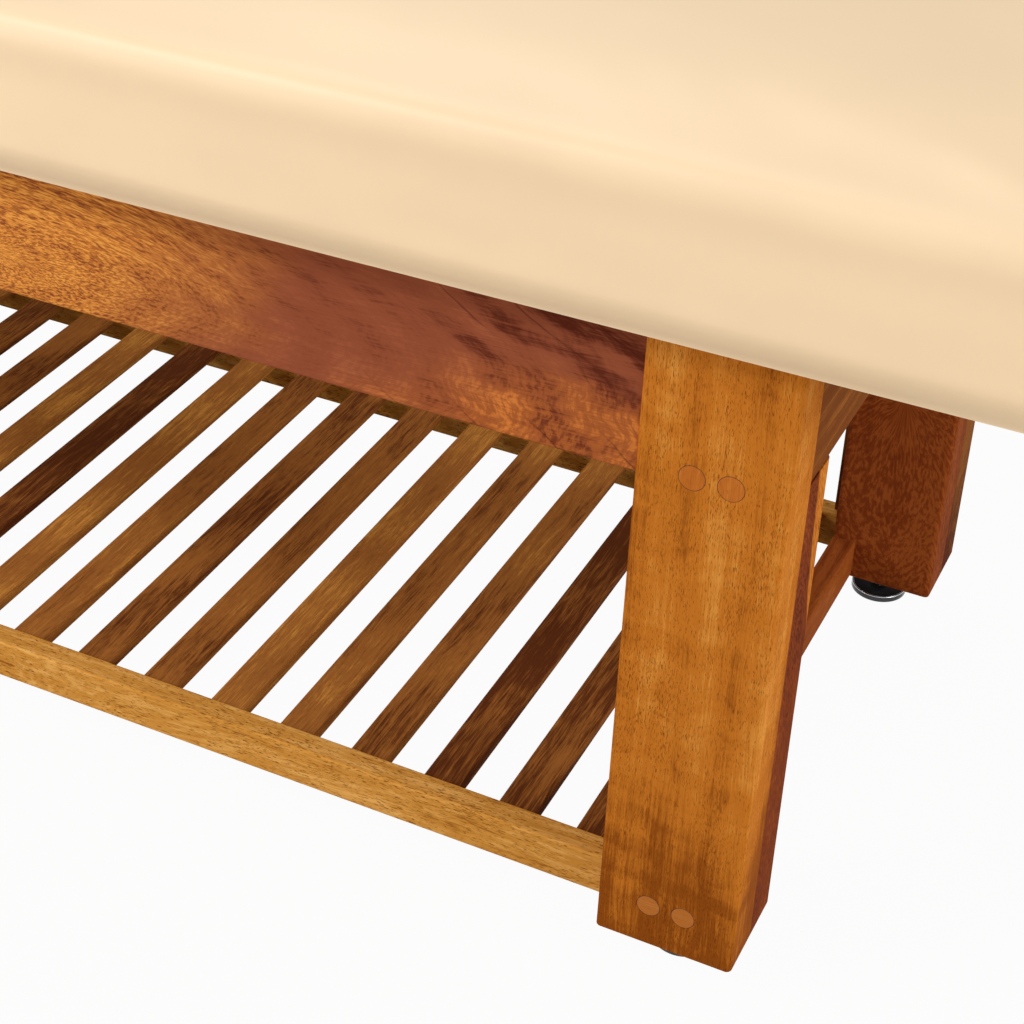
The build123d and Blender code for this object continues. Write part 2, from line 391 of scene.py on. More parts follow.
def split(tree, vector):
    """The three values of a vector."""
    node = tree.nodes.new("ShaderNodeSeparateXYZ")
    joined(tree, vector, node.inputs[0])
    return node.outputs


def noise_node(tree, vector, stretch, detail, roughness):
    """Noise that repeats as often per metre as the stretch says, along each axis."""
    node = tree.nodes.new("ShaderNodeTexNoise")
    place = vector_maths(tree, "MULTIPLY", vector, stretch)
    feed(tree, node, {"Vector": place, "Scale": 1, "Detail": detail, "Roughness": roughness})
    return node


def noise(tree, vector, stretch, detail=2.0, roughness=0.5):
    """Noise between nought and one."""
    return noise_node(tree, vector, stretch, detail, roughness).outputs["Fac"]


def cloud(tree, vector, stretch, detail):
    """Noise that goes as far below nought as above it."""
    return maths(tree, "SUBTRACT", noise(tree, vector, stretch, detail), 0.5)


def ramp(tree, value, low, high, start=0.0, end=1.0):
    """Maps a value smoothly from the range low to high onto start to end."""
    node = tree.nodes.new("ShaderNodeMapRange")
    node.interpolation_type = "SMOOTHSTEP"
    feed(tree, node, {"Value": value, "From Min": low, "From Max": high, "To Min": start, "To Max": end})
    return node.outputs["Result"]


def mixed(tree, share, first, second):
    """A mix of two colours."""
    node = tree.nodes.new("ShaderNodeMix")
    node.data_type = "RGBA"
    colours = [socket for socket in node.inputs if socket.type == "RGBA"]
    joined(tree, share, node.inputs[0])
    joined(tree, first, colours[0])
    joined(tree, second, colours[1])
    return [socket for socket in node.outputs if socket.type == "RGBA"][0]


def bumped(tree, height, distance, strength=1.0):
    """The normal of a surface with small relief."""
    node = tree.nodes.new("ShaderNodeBump")
    feed(tree, node, {"Strength": strength, "Distance": distance, "Height": height})
    return node.outputs["Normal"]


def new_material(name):
    """A material with its tree and Principled shader."""
    material = bpy.data.materials.new(name)
    material.use_nodes = True
    tree = material.node_tree
    return material, tree, tree.nodes["Principled BSDF"]


def table_place(tree):
    """The place on the table, in metres."""
    return tree.nodes.new("ShaderNodeTexCoord").outputs["Object"]


# Turns that bring an axis of the table onto X, along which the grain of the figure runs
AXIS_TURNS = {"x": (0, 0, 0), "y": (0, 0, -pi / 2), "z": (0, pi / 2, 0)}


def grain_place(tree, axis):
    """The place on the table, turned so that X runs along the grain."""
    mapping = tree.nodes.new("ShaderNodeMapping")
    feed(tree, mapping, {"Vector": table_place(tree), "Rotation": AXIS_TURNS[axis]})
    return mapping.outputs["Vector"]


# Figure of the wood

GRAIN = "Plank figure"
GRAIN_INPUTS = {
    "vector": ("Vector", "Heart", "Ring Stretch"),
    "colour": ("Light", "Middle", "Dark", "Pore"),
    "value": ("Ring Scale", "Rings", "Mottle", "Ripple", "Streaks", "Dashes", "Fibres", "Pores",
              "Pore Scale", "Tone"),
}
GRAIN_OUTPUTS = {"colour": ("Color",), "value": ("Roughness", "Height")}

# The figure where a wood doesn't say otherwise
FIGURE = {
    "Ring Scale": 26.0, "Ring Stretch": (0.16, 1, 1), "Rings": 0.3, "Mottle": 0.9, "Ripple": 0.15,
    "Streaks": 0.6, "Dashes": 0.12, "Fibres": 0.6, "Pores": 0.6, "Pore Scale": 1.2,
}


def wandering(tree, vector):
    """The place, shifted a little to and fro so that the grain isn't straight."""
    reach = (0.09, 0.02, 0.02)
    warp = noise_node(tree, vector, (3, 14, 14), 3, 0.5).outputs["Color"]
    warp = vector_maths(tree, "SUBTRACT", warp, (0.5, 0.5, 0.5))
    return vector_maths(tree, "ADD", vector, vector_maths(tree, "MULTIPLY", warp, reach))


def growth_rings(tree, from_heart, scale):
    """Rings round the heart of the tree."""
    rings = tree.nodes.new("ShaderNodeTexWave")
    rings.wave_type = "RINGS"
    rings.rings_direction = "SPHERICAL"
    feed(tree, rings, {
        "Vector": from_heart, "Scale": scale, "Distortion": 1.6, "Detail": 3, "Detail Scale": 2
    })
    return rings.outputs["Fac"]


def along_rings(tree, from_heart):
    """Coordinates that follow the rings: round the heart, out from it and across the board."""
    reach_per_radian = 0.35
    x, y, z = split(tree, from_heart)
    out = tree.nodes.new("ShaderNodeVectorMath")
    out.operation = "LENGTH"
    joined(tree, from_heart, out.inputs[0])
    angle = maths(tree, "ARCTAN2", z, x)
    return combined(tree, product(tree, angle, reach_per_radian), out.outputs["Value"], y)


def open_pores(tree, vector, bent, scale, share):
    """Short dark pores along the grain, which crowd together in places."""
    small = vector_maths(tree, "SCALE", bent, scale)
    specks = noise(tree, small, (130, 1150, 1150), 1)
    crowd = noise(tree, vector, (16, 50, 50))
    edge = scaled(tree, crowd, -0.2, 0.7)
    return product(tree, ramp(tree, specks, edge, maths(tree, "ADD", edge, 0.08)), share)


def grain_group():
    """Planed wood whose grain runs along X: rings, mottle, streaks, fibres, ripple, dashes and pores."""
    tree, source, result = group(GRAIN, GRAIN_INPUTS, GRAIN_OUTPUTS)
    take = source.outputs
    bent = wandering(tree, take["Vector"])
    from_heart = vector_maths(tree, "SUBTRACT", bent, take["Heart"])
    from_heart = vector_maths(tree, "MULTIPLY", from_heart, take["Ring Stretch"])
    fibres = noise(tree, bent, (30, 800, 800), roughness=0.6)
    dashes = noise(tree, along_rings(tree, from_heart), (60, 760, 200), roughness=0.6)
    parts = {
        "Mottle": noise(tree, bent, (4, 26, 26), 5, 0.62),
        "Rings": growth_rings(tree, from_heart, take["Ring Scale"]),
        "Streaks": noise(tree, bent, (6, 200, 200), 4, 0.65),
        "Fibres": fibres,
        "Ripple": noise(tree, bent, (60, 8, 8)),
        "Dashes": ramp(tree, dashes, 0.36, 0.64),
    }
    tone = take["Tone"]
    for title, part in parts.items():
        tone = scaled(tree, maths(tree, "SUBTRACT", part, 0.5), take[title], tone)
    low = mixed(tree, ramp(tree, tone, 0.0, 0.5), take["Dark"], take["Middle"])
    colour = mixed(tree, ramp(tree, tone, 0.5, 1.0), low, take["Light"])
    pores = open_pores(tree, take["Vector"], bent, take["Pore Scale"], take["Pores"])
    feed(tree, result, {
        "Color": mixed(tree, pores, colour, take["Pore"]),
        "Roughness": scaled(tree, pores, 0.2),
        "Height": scaled(tree, pores, -1.0, scaled(tree, fibres, 0.25)),
    })
    return tree


def plank_figure():
    """The figure's node group, built the first time that a wood needs it."""
    return bpy.data.node_groups.get(GRAIN) or grain_group()


def place_grain(tree, vector, colours, tone, figure=(), heart=(0, 0, 0)):
    """Puts the plank figure into a material with its own values, from the light tone to the dark."""
    node = tree.nodes.new("ShaderNodeGroup")
    node.node_tree = plank_figure()
    values = dict(FIGURE)
    values.update(figure)
    values.update(zip(("Light", "Middle", "Dark"), colours))
    values["Pore"] = whole(settings("wood").pore)
    values.update({"Vector": vector, "Heart": heart, "Tone": tone})
    feed(tree, node, values)
    return node.outputs


def varnish(tree, shader, outputs):
    """A thin satin varnish over the figure."""
    wood = settings("wood")
    relief = 0.1 * MM
    feed(tree, shader, {
        "Base Color": outputs["Color"],
        "Roughness": maths(tree, "ADD", outputs["Roughness"], wood.roughness),
        "Specular IOR Level": wood.shine,
        "Normal": bumped(tree, outputs["Height"], relief),
    })


# Boards


def darker_foot(tree, vector, tone, share):
    """A tone that falls towards the floor, between two heights and with a cloudy border."""
    start, full = 0.3, 0.13
    height = split(tree, table_place(tree))[2]
    height = scaled(tree, noise(tree, vector, (9, 24, 24), 3), 0.16, height)
    return maths(tree, "SUBTRACT", tone, ramp(tree, height, start, full, 0.0, share))


def board_wood(name, axis, colours, tone=0.5, figure=(), foot=0.0):
    """Varnished wood, its grain along an axis of the table, darker at the floor by the foot's share."""
    material, tree, shader = new_material(name)
    vector = grain_place(tree, axis)
    if foot:
        tone = darker_foot(tree, vector, tone, foot)
    varnish(tree, shader, place_grain(tree, vector, colours, tone, figure))
    return material


# The three woods in a side apron, and its thin dark lines
APRON_GOLD = tones(srgb(240, 166, 78), srgb(206, 126, 56), srgb(140, 74, 44))
APRON_RED = tones(srgb(176, 100, 66), srgb(150, 80, 54), srgb(96, 42, 28))
APRON_FLAME = tones(srgb(226, 134, 62), srgb(172, 94, 48), srgb(110, 50, 34))
APRON_LINE = paint(70, 28, 22)
# Middle of the gold ovals, and how far the dark bands and lines fall per metre
APRON_HEART = (0.03, -0.35, 0.53)
APRON_FALL = 0.67


def apron_border(tree, wander, x, z):
    """The place along the apron, leaning and cloudy, by which one wood passes into the next."""
    middle_height = 0.56
    border = scaled(tree, wander, 0.26, x)
    return scaled(tree, maths(tree, "SUBTRACT", middle_height, z), 0.5, border)


def apron_bands(tree, slope, wander, border):
    """Wide diagonal bands, darker and lighter by turns, in the dark end."""
    width = 0.034
    bands = maths(tree, "PINGPONG", scaled(tree, wander, 0.16, slope), width)
    return product(tree, ramp(tree, bands, 0.006, 0.028, -0.14, 0.12), ramp(tree, border, 0.36, 0.5))


def apron_lines(tree, vector, slope, wander, border):
    """Thin broken dark lines along the bands, in the dark end."""
    spacing, half_width = 0.023, 0.0016
    line = maths(tree, "PINGPONG", scaled(tree, wander, 0.03, slope), spacing)
    broken = ramp(tree, noise(tree, vector, (7, 16, 16)), 0.36, 0.6)
    return product(tree, ramp(tree, line, half_width, 0.0), broken, ramp(tree, border, 0.39, 0.5))


def side_apron_material():
    """Gold wood with oval, curly figure, which turns to plain red heartwood and then to dark streaks."""
    material, tree, shader = new_material("Side apron wood")
    vector = grain_place(tree, "x")
    x, y, z = split(tree, vector)
    wander = cloud(tree, vector, (6, 16, 16), 4)
    border = apron_border(tree, wander, x, z)
    red = ramp(tree, border, 0.16, 0.36)
    low_edge = ramp(tree, scaled(tree, wander, 0.16, z), 0.56, 0.51)
    flame = product(tree, low_edge, ramp(tree, border, 0.4, 0.55))
    reddish = [mixed(tree, flame, plain, fiery) for plain, fiery in zip(APRON_RED, APRON_FLAME)]
    colours = [mixed(tree, red, golden, other) for golden, other in zip(APRON_GOLD, reddish)]

    slope = scaled(tree, x, APRON_FALL, z)
    bands = apron_bands(tree, slope, wander, border)
    tone = maths(tree, "ADD", bands, ramp(tree, border, 0.42, 0.62, 0.5, 0.24))
    tone = scaled(tree, flame, 0.22, tone)
    dashes = scaled(tree, flame, 0.2, scaled(tree, red, -0.6, 0.72))
    figure = {
        "Ring Scale": 20.0, "Ring Stretch": (0.3, 0.4, 1), "Rings": 0.16, "Mottle": 0.5,
        "Ripple": 0.0, "Streaks": 0.3, "Dashes": dashes, "Pores": 0.05,
    }
    outputs = place_grain(tree, vector, colours, tone, figure, APRON_HEART)
    varnish(tree, shader, outputs)
    lines = product(tree, apron_lines(tree, vector, slope, wander, border), 0.6)
    feed(tree, shader, {"Base Color": mixed(tree, lines, outputs["Color"], APRON_LINE)})
    return material


def sapwood_strip(tree, vector, x, y, z):
    """How far the inner board of a leg is sapwood: a strip at its inner edge, wider with height."""
    start, full, width, fade = 0.28, 0.46, 27 * MM, 2 * MM
    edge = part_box("leg_inner_board_front_right")[1]
    inward = maths(tree, "SUBTRACT", edge[1], y)
    behind = maths(tree, "SUBTRACT", edge[0], maths(tree, "ABSOLUTE", x))
    reach = scaled(tree, behind, 0.5, scaled(tree, cloud(tree, vector, (7, 40, 40), 3), 0.02, inward))
    return ramp(tree, maths(tree, "SUBTRACT", ramp(tree, z, start, full, 0.0, width), reach), 0.0, fade)


def leg_back_material():
    """Dark heartwood, with a tapering strip of sapwood along the inner edge of the front legs."""
    wood = settings("wood")
    material, tree, shader = new_material("Leg back wood")
    x, y, z = split(tree, table_place(tree))
    left = maths(tree, "LESS_THAN", x, 0.0)
    front = maths(tree, "LESS_THAN", y, 0.0)
    # The legs are mirror images, but cut from other places along the plank
    left_place, front_place = 0.12, 0.2
    along = scaled(tree, left, left_place, scaled(tree, front, front_place, z))
    vector = combined(tree, along, maths(tree, "ABSOLUTE", y), maths(tree, "ABSOLUTE", x))
    sap = product(tree, sapwood_strip(tree, vector, x, y, z), front)
    heartwood = tones(wood.red, wood.wine, wood.chocolate)
    sapwood = tones(wood.amber, wood.honey, wood.brown)
    colours = [mixed(tree, sap, heart, pale) for heart, pale in zip(heartwood, sapwood)]
    figure = {
        "Ring Scale": 9.0, "Ring Stretch": (0.5, 1, 1), "Rings": 0.12, "Ripple": 0.3,
        "Streaks": 0.2, "Dashes": 0.5, "Fibres": 0.3, "Pores": 0.15,
    }
    tone = scaled(tree, front, -0.24, 0.72)
    middle_of_rings = (0.27, 0.42, 0.7)
    varnish(tree, shader, place_grain(tree, vector, colours, tone, figure, middle_of_rings))
    return material


# Tone of each slat, from dark to light, and how cloudy its figure is, from the left
SLATS = (
    (0.4, 0.5), (0.3, 0.4), (0.45, 0.6), (0.25, 0.3), (0.38, 0.5), (0.62, 0.4),
    (0.1, 0.3), (0.6, 0.35), (0.46, 1.1), (0.3, 0.3), (0.4, 0.4), (0.58, 0.5),
    (0.48, 1.0), (0.43, 1.0), (0.1, 0.2), (0.2, 0.8), (0.12, 0.3),
)
SLAT_TONES = tones(srgb(222, 153, 68), srgb(168, 104, 48), srgb(98, 50, 24))


def slat_share(tree):
    """The place along the shelf, from nought before the first slat to one after the last."""
    first, second, last = (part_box(f"shelf_slat_{number:02d}") for number in (1, 2, len(SLATS)))
    half_gap = (second[0][0] - first[1][0]) / 2
    start, end = first[0][0] - half_gap, last[1][0] + half_gap
    x = split(tree, table_place(tree))[0]
    return maths(tree, "DIVIDE", maths(tree, "SUBTRACT", x, start), end - start)


def slat_kinds(tree, share):
    """The tone and the clouds of the slat at a place along the shelf."""
    kinds = tree.nodes.new("ShaderNodeValToRGB")
    kinds.color_ramp.interpolation = "CONSTANT"
    stops = kinds.color_ramp.elements
    for k, (tone, clouds) in enumerate(SLATS):
        # A new ramp has two stops
        stop = stops[k] if k < 2 else stops.new(k / len(SLATS))
        stop.position = k / len(SLATS)
        stop.color = (tone, clouds, 0, 1)
    feed(tree, kinds, {"Fac": share})
    return split(tree, kinds.outputs["Color"])[:2]


def slat_material():
    """Each slat is cut from another plank, so its tone and figure differ from its neighbours'."""
    material, tree, shader = new_material("Slat wood")
    share = slat_share(tree)
    tone, clouds = slat_kinds(tree, share)
    number = maths(tree, "FLOOR", product(tree, share, len(SLATS)))
    # Metres along and across the figure from one slat's place in it to the next one's
    step_along, step_across = 3.7, 1.3
    apart = combined(tree, product(tree, number, step_along), None, product(tree, number, step_across))
    own = vector_maths(tree, "ADD", grain_place(tree, "y"), apart)
    figure = {
        "Ring Scale": 22.0, "Rings": 0.2, "Mottle": clouds, "Ripple": 0.1, "Dashes": 0.1, "Fibres": 0.9,
        "Pores": 0.3,
    }
    varnish(tree, shader, place_grain(tree, own, SLAT_TONES, tone, figure))
    return material


# The cleats, bearers and deck, which are out of sight, are of raw wood
RAW_WOOD = tones(srgb(206, 172, 124), srgb(186, 148, 100), srgb(150, 112, 72))
# Figures of the leg faces, shelf rails, short rippled boards and plywood
LEG_FACE = {
    "Ring Scale": 7.0, "Rings": 0.2, "Mottle": 1.1, "Ripple": 0.6, "Dashes": 0.08, "Pores": 0.8,
    "Pore Scale": 1.7,
}
RAIL = {"Rings": 0.2, "Dashes": 0.3, "Pores": 0.85}
RIPPLED = {"Ripple": 0.3}
PLYWOOD = {"Rings": 0.1, "Mottle": 0.6}
# How much darker a leg's face is at its foot
LEG_FOOT = 0.45


class TABLE_OT_boards(Operator):
    """Gives every board of the legs, aprons, shelf and battens its own wood"""

    bl_idname = "table.boards"
    bl_label = "Boards"

    def execute(self, context):
        woods = self.woods(settings("wood"))
        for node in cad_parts:
            # Where two starts fit, the later and longer one holds
            for start, material in woods.items():
                if node.startswith(start):
                    dress(node, material)
        return {"FINISHED"}

    def woods(self, wood):
        """The material of each kind of board, by the start of its nodes' names."""
        face = tones(wood.amber, wood.honey, wood.brown)
        back = tones(srgb(176, 112, 50), srgb(142, 84, 34), wood.chocolate)
        end = tones(srgb(166, 102, 42), srgb(126, 70, 26), wood.wine)
        rail = tones(srgb(240, 180, 98), srgb(214, 148, 64), wood.brown)
        cross = tones(wood.honey, wood.red, wood.wine)
        return {
            "leg_outer_board": board_wood("Leg face wood", "z", face, 0.5, LEG_FACE, LEG_FOOT),
            "leg_outer_board_back": board_wood("Back leg face wood", "z", back, 0.5, LEG_FACE, LEG_FOOT),
            "leg_inner_board": leg_back_material(),
            "side_apron": side_apron_material(),
            "end_apron": board_wood("End apron wood", "y", end, 0.5, RIPPLED),
            "shelf_rail": board_wood("Shelf rail wood", "x", rail, 0.58, RAIL),
            "cross_rail": board_wood("Cross rail wood", "y", cross, 0.4, RIPPLED),
            "shelf_slat": slat_material(),
            "side_cleat": board_wood("Cleat wood", "x", RAW_WOOD, 0.5),
            "end_cleat": board_wood("End cleat wood", "y", RAW_WOOD, 0.5),
            "deck_bearer": board_wood("Bearer wood", "y", RAW_WOOD, 0.6),
            "deck_board": board_wood("Plywood", "x", RAW_WOOD, 0.7, PLYWOOD),
        }


# Plugs


def turned_plug(name, radius, depth, edge):
    """One turned plug round the origin, along Y, with its eased edge at minus Y."""
    deselect()
    bpy.ops.mesh.primitive_cylinder_add(vertices=48, radius=radius, depth=depth, rotation=(pi / 2, 0, 0))
    plug = added(name)
    settle(plug)
    outer = -depth / 2
    select_edges(plug, lambda a, b: abs(a.y - outer) < NEAR and abs(b.y - outer) < NEAR)
    bpy.ops.mesh.bevel(offset=edge, segments=2)
    mode("OBJECT")
    return plug


def glue_and_gap_shade_material():
    """The dark line round a plug: partly glue, partly painted shade of the gap round it."""
    material, tree, shader = new_material("Glue line and gap shade")
    feed(tree, shader, {"Base Color": paint(84, 38, 14), "Roughness": 0.6})
    return material


class TABLE_OT_plugs(Operator):
    """Turned plugs in the faces of the legs, each in a thin dark line that is partly glue and partly
    painted shade of the gap
    """

    bl_idname = "table.plugs"
    bl_label = "Plugs"

    def execute(self, context):
        wood = settings("wood")
        upper = tones(srgb(218, 140, 64), srgb(194, 110, 42), wood.brown)
        lower = tones(srgb(206, 136, 70), srgb(186, 112, 50), wood.honey)
        glue_and_shade = glue_and_gap_shade_material()
        upper_wood = board_wood("Upper plug wood", "z", upper, figure={"Rings": 0.1, "Pores": 0.3})
        lower_wood = board_wood("Lower plug wood", "x", lower, figure={"Rings": 0.1, "Pores": 0.2})
        self.fill("leg_plugs_upper", upper_wood, glue_and_shade)
        self.fill("leg_plugs_lower", lower_wood, glue_and_shade)
        return {"FINISHED"}

    def fill(self, node, material, glue_and_shade):
        """Turns one plug, and copies it into every other hole of a CAD node."""
        plugs = settings("plugs")
        low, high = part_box(node)
        radius = (high[2] - low[2]) / 2
        y = high[1] - plugs.depth / 2
        z = (low[2] + high[2]) / 2
        first = turned_plug(node, radius - plugs.gap, plugs.depth, plugs.edge)
        holes = [(end, side, place) for end in (-1, 1) for side in (-1, 1) for place in (0, 1)]
        copies = [first] + [copied(first, node) for hole in holes[1:]]
        for plug, (end, side, place) in zip(copies, holes):
            x = high[0] - radius - place * plugs.spacing
            plug.location = (end * x, side * y, z)
            plug.rotation_euler[2] = pi if side > 0 else 0
            settle(plug)
        activate(first)
        for plug in copies:
            plug.select_set(True)
        bpy.ops.object.join()
        cover_with(first, material)
        first.data.materials.append(glue_and_shade)
        # Glue and painted gap shade show on the eased edge, which faces neither straight out nor
        # straight to the side
        for face in first.data.polygons:
            face.material_index = 1 if 0.05 < abs(face.normal.y) < 0.98 else 0
        join_table(first, TABLE, node)


# Padded top

# Powers that put the deepest part of the waist above half height, and that round the draw-in off
WAIST_LEAN = 1.8
DRAW_CURVE = 1.4

# The cover as the cloth simulation takes it, with its filling as a pressure
CLOTH = {
    "quality": 5,
    "mass": 0.4,
    "tension_stiffness": 60,
    "compression_stiffness": 60,
    "shear_stiffness": 30,
    "bending_stiffness": 8,
    "use_pressure": True,
    "vertex_group_mass": "Held",
}


def cover_material():
    """Smooth matt-satin coated cloth with a very fine grain."""
    pad = settings("pad")
    darker = [channel * 0.965 for channel in pad.colour]
    grains_per_metre, relief = 900, 0.03 * MM
    material, tree, shader = new_material("Pad cover")
    place = table_place(tree)
    shade = ramp(tree, noise(tree, place, (5, 5, 9)), 0.35, 0.65)
    grain = tree.nodes.new("ShaderNodeTexVoronoi")
    grain.feature = "SMOOTH_F1"
    feed(tree, grain, {"Vector": place, "Scale": grains_per_metre})
    feed(tree, shader, {
        "Base Color": mixed(tree, shade, whole(pad.colour), whole(darker)),
        "Roughness": pad.roughness,
        "Specular IOR Level": pad.shine,
        "Normal": bumped(tree, grain.outputs["Distance"], relief, 0.5),
    })
    return material


class TABLE_OT_pad(Operator):
    """Padded top: a rolled block whose cover is filled by a cloth simulation"""

    bl_idname = "table.pad"
    bl_label = "Padded top"

    def execute(self, context):
        pad = settings("pad")
        low, high = (Vector(corner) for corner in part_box("pad_cover"))
        piece = self.block(pad, low - Vector((0, 0, pad.spare)), high - Vector((0, 0, pad.crown)))
        self.crown(piece, pad, low, high)
        self.fill(piece, pad, low.z)
        self.refine(piece)
        self.draw_in(piece, pad, low, high)
        self.hem(piece, pad, low.z)
        cover_with(piece, cover_material())
        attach(piece, TABLE)
        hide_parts("pad_cover", "foam_core")
        return {"FINISHED"}

    def block(self, pad, low, high):
        """The foam block, a little smaller than the pad, with its corners and top edges rolled."""
        deselect()
        size = high - low
        bpy.ops.mesh.primitive_cube_add(size=1, location=(low + high) / 2)
        piece = added("padded_top")
        piece.scale = (size.x - 2 * pad.slack, size.y - 2 * pad.slack, size.z - pad.slack)
        settle(piece)
        put_points(piece, points(piece) - np.array([0, 0, pad.slack / 2]))
        select_edges(piece, lambda a, b: abs(a.z - b.z) > size.z / 2)
        bpy.ops.mesh.bevel(offset=pad.corner, segments=10)
        top = high.z - pad.slack
        select_edges(piece, lambda a, b: min(a.z, b.z) > top - MM)
        bpy.ops.mesh.bevel(offset=pad.top_roll, segments=10)
        mode("OBJECT")
        remesh = piece.modifiers.new("Even faces", "REMESH")
        remesh.mode = "VOXEL"
        remesh.voxel_size = pad.voxel
        smoothed(piece)
        apply_modifiers(piece)
        return piece

    def crown(self, piece, pad, low, high):
        """Raises the top in a long low crown."""
        places = points(piece)
        middle = (low + high) / 2
        half = (high - low) / 2
        from_side = np.clip((half.y - np.abs(places[:, 1] - middle.y)) / half.y, 0, 1)
        from_end = np.clip((half.x - np.abs(places[:, 0] - middle.x)) / half.y, 0, 1)
        share = np.minimum(from_side, from_end)
        on_top = np.clip((places[:, 2] - (high.z - pad.crown - pad.top_roll)) / pad.top_roll, 0, 1)
        places[:, 2] += pad.crown * (1 - (1 - share) ** 2) * on_top
        put_points(piece, places)

    def fill(self, piece, pad, deck):
        """Fills the cover: a cloth with pressure inside, held where it goes round the deck."""
        start = points(piece)
        held = piece.vertex_groups.new(name=CLOTH["vertex_group_mass"])
        held.add([int(k) for k in np.flatnonzero(start[:, 2] < deck + pad.held)], 1, "REPLACE")
        cloth = piece.modifiers.new("Filling", "CLOTH")
        for setting, value in CLOTH.items():
            setattr(cloth.settings, setting, value)
        cloth.settings.uniform_pressure_force = pad.pressure
        cloth.settings.effector_weights.gravity = 0
        cloth.collision_settings.use_collision = False
        scene = bpy.context.scene
        for step in range(1, pad.steps + 1):
            scene.frame_set(step)
        apply_modifiers(piece)
        scene.frame_set(1)
        # Points that filling would move far are held back to within the swell
        moved = points(piece) - start
        length = np.linalg.norm(moved, axis=1, keepdims=True)
        put_points(piece, start + moved / (1 + length / pad.swell))

    def refine(self, piece):
        """Smooths the filled cover and gives it finer faces."""
        smoothed(piece)
        finer = piece.modifiers.new("Finer", "SUBSURF")
        finer.levels = 1
        finer.render_levels = 1
        apply_modifiers(piece)

    def draw_in(self, piece, pad, low, high):
        """Draws the sides in under the top edge, and again where the cover goes round the deck."""
        places = points(piece)
        middle = np.array((low + high) / 2)[:2]
        half = np.array((high - low) / 2)[:2]
        offset = places[:, :2] - middle
        # Outward is straight out on the sides, and away from the corner's middle on the corners
        edge = np.sign(offset) * np.maximum(np.abs(offset) - (half - pad.corner), 0)
        reach = np.linalg.norm(edge, axis=1)
        least = 0.01 * MM
        outward = edge / np.maximum(reach, least)[:, None]
        share = np.clip(reach / (pad.corner / 2), 0, 1)
        height = places[:, 2] - low.z
        shoulder = high.z - pad.crown - pad.top_roll - low.z
        up = np.clip((height - pad.draw_height) / (shoulder - pad.draw_height), 0, 1)
        down = np.clip(1 - height / pad.draw_height, 0, 1)
        inset = pad.waist * np.sin(up**WAIST_LEAN * pi) ** 2 + pad.draw_in * down**DRAW_CURVE
        bow = pad.bow * np.cos(np.clip(offset[:, 0] / half[0], -1, 1) * pi / 2) ** 2
        places[:, :2] += outward * (share * (pad.ease - inset))[:, None]
        places[:, 1] += outward[:, 1] * share * bow
        put_points(piece, places)

    def hem(self, piece, pad, bottom):
        """Cuts the cover off below the deck and turns its middle up into the deck."""
        activate(piece)
        mode("EDIT")
        bpy.ops.mesh.select_mode(type="FACE")
        bpy.ops.mesh.select_all(action="SELECT")
        bpy.ops.mesh.bisect(plane_co=(0, 0, bottom), plane_no=(0, 0, 1), clear_inner=True, use_fill=True)
        mode("OBJECT")
        select_faces(piece, lambda face: face.normal.z < -0.99 and face.center.z < bottom + NEAR)
        bpy.ops.mesh.inset(thickness=pad.hem)
        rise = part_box("deck_board")[0][2] + pad.turn_up - bottom
        bpy.ops.mesh.extrude_region_move(TRANSFORM_OT_translate={"value": (0, 0, rise)})
        mode("OBJECT")
        bpy.ops.object.shade_smooth_by_angle(angle=radians(50))


# Levelling feet


def dish_material(feet):
    """Plated steel: its dark tone is a painted reflection of dark surroundings, and a bright band along
    the lip is a painted highlight.
    """
    # Dark is a painted reflection of dark surroundings; bright is the painted highlight along the lip
    dark, bright = paint(66, 66, 68), paint(224, 224, 226)
    smooth, worn = 0.14, 0.26
    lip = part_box("glide_base_" + CORNERS[0])[1][2]
    material, tree, shader = new_material("Dish steel")
    place = table_place(tree)
    height = split(tree, place)[2]
    # Painted highlight: a bright band just under the lip, between two depths
    lip_highlight = ramp(tree, height, lip - feet.lip_highlight_start, lip - feet.lip_highlight_full)
    wear = noise(tree, place, (90, 90, 90), 3)
    feed(tree, shader, {
        "Base Color": mixed(tree, lip_highlight, dark, bright),
        "Metallic": 1,
        "Roughness": ramp(tree, wear, 0.3, 0.7, smooth, worn),
    })
    return material


def thread_material(pitch):
    """Bright steel with a rolled thread."""
    material, tree, shader = new_material("Stem steel")
    feed(tree, shader, {"Base Color": paint(206, 206, 208), "Metallic": 1, "Roughness": 0.14})
    height = split(tree, table_place(tree))[2]
    turn = maths(tree, "PINGPONG", height, pitch / 2)
    feed(tree, shader, {"Normal": bumped(tree, turn, 1.0, 0.6)})
    return material


def plastic_material():
    """Matt black plastic."""
    material, tree, shader = new_material("Ring plastic")
    feed(tree, shader, {"Base Color": paint(26, 26, 28), "Roughness": 0.5})
    return material


